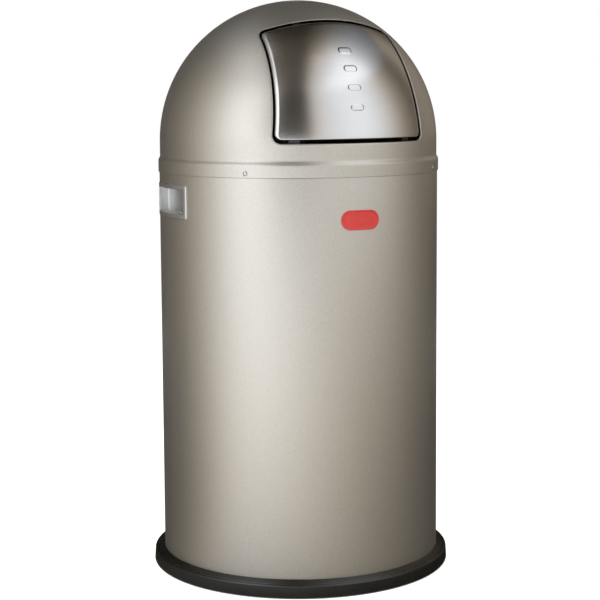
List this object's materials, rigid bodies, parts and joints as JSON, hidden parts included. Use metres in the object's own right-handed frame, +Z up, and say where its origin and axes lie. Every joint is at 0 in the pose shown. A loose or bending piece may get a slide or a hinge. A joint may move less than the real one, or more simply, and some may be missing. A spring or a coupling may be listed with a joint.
{
  "type": "trash can",
  "caption": "Round steel push bin with a lift-off domed lid, a sprung stainless push flap, recessed side grips, a rubber base ring and a galvanised liner with a bail.",
  "frame": {"origin": "centre of the base ring's underside, on the floor", "axes": "+Z up, -Y towards the front with the push flap, +X to the right as seen from the front, X along the flap's hinge axle"},
  "size_m": [0.3999, 0.4, 0.755],
  "materials": {
    "body_paint": "fine metallic powder coat, satin",
    "ring_rubber": "semi-matt moulded rubber",
    "flap_steel": "polished stainless sheet",
    "fitting_steel": "bright zinc-plated steel",
    "grip_metal": "satin die-cast",
    "badge_red": "glossy red enamel with a bright rim",
    "galvanised": "galvanised sheet with a faint spangle",
    "nylon": "natural nylon",
    "buffer_rubber": "matt rubber",
    "sleeve_plastic": "matt black plastic"
  },
  "bodies": {
    "bin": {"outer_tube": "body_paint", "floor_plate": "galvanised", "base_ring": "ring_rubber", "left_grip": "grip_metal", "right_grip": "grip_metal", "badge": "badge_red"},
    "dome": {"dome_shell": "body_paint", "collar_clips": "fitting_steel", "collar_rivets": "fitting_steel", "left_hinge_bracket": "fitting_steel", "right_hinge_bracket": "fitting_steel", "hinge_axle": "fitting_steel", "axle_clips": "fitting_steel", "flap_spring": "fitting_steel"},
    "flap": {"push_flap": "flap_steel", "flap_hinge_bracket": "fitting_steel", "hinge_bushes": "nylon", "flap_stop_tabs": "fitting_steel", "flap_buffers": "buffer_rubber"},
    "liner": {"liner_wall": "galvanised", "liner_floor": "galvanised", "bail_ears": "galvanised", "ear_rivets": "galvanised"},
    "bail": {"bail": "fitting_steel", "bail_sleeve": "sleeve_plastic"}
  },
  "joints": [
    {"name": "dome_lift", "type": "slide", "parent": "bin", "child": "dome", "axis": [0, 0, 1], "range_m": [0, 0.66]},
    {"name": "flap_swing", "type": "hinge", "parent": "dome", "child": "flap", "pos_m": [0, -0.06994, 0.71999], "axis": [1, 0, 0], "range_deg": [0, 70], "stiffness_Nm_per_rad": 0.25, "springref_deg": -91.67, "deforming": ["flap_spring"]},
    {"name": "liner_lift", "type": "slide", "parent": "bin", "child": "liner", "axis": [0, 0, 1], "range_m": [0, 0.53]},
    {"name": "bail_swing", "type": "hinge", "parent": "liner", "child": "bail", "pos_m": [0, 0, 0.526], "axis": [0, -1, 0], "range_deg": [0, 180]}
  ],
  "couplings": [
    {"joint": "liner_lift", "follows": "dome_lift", "ratio": 0.8}
  ]
}
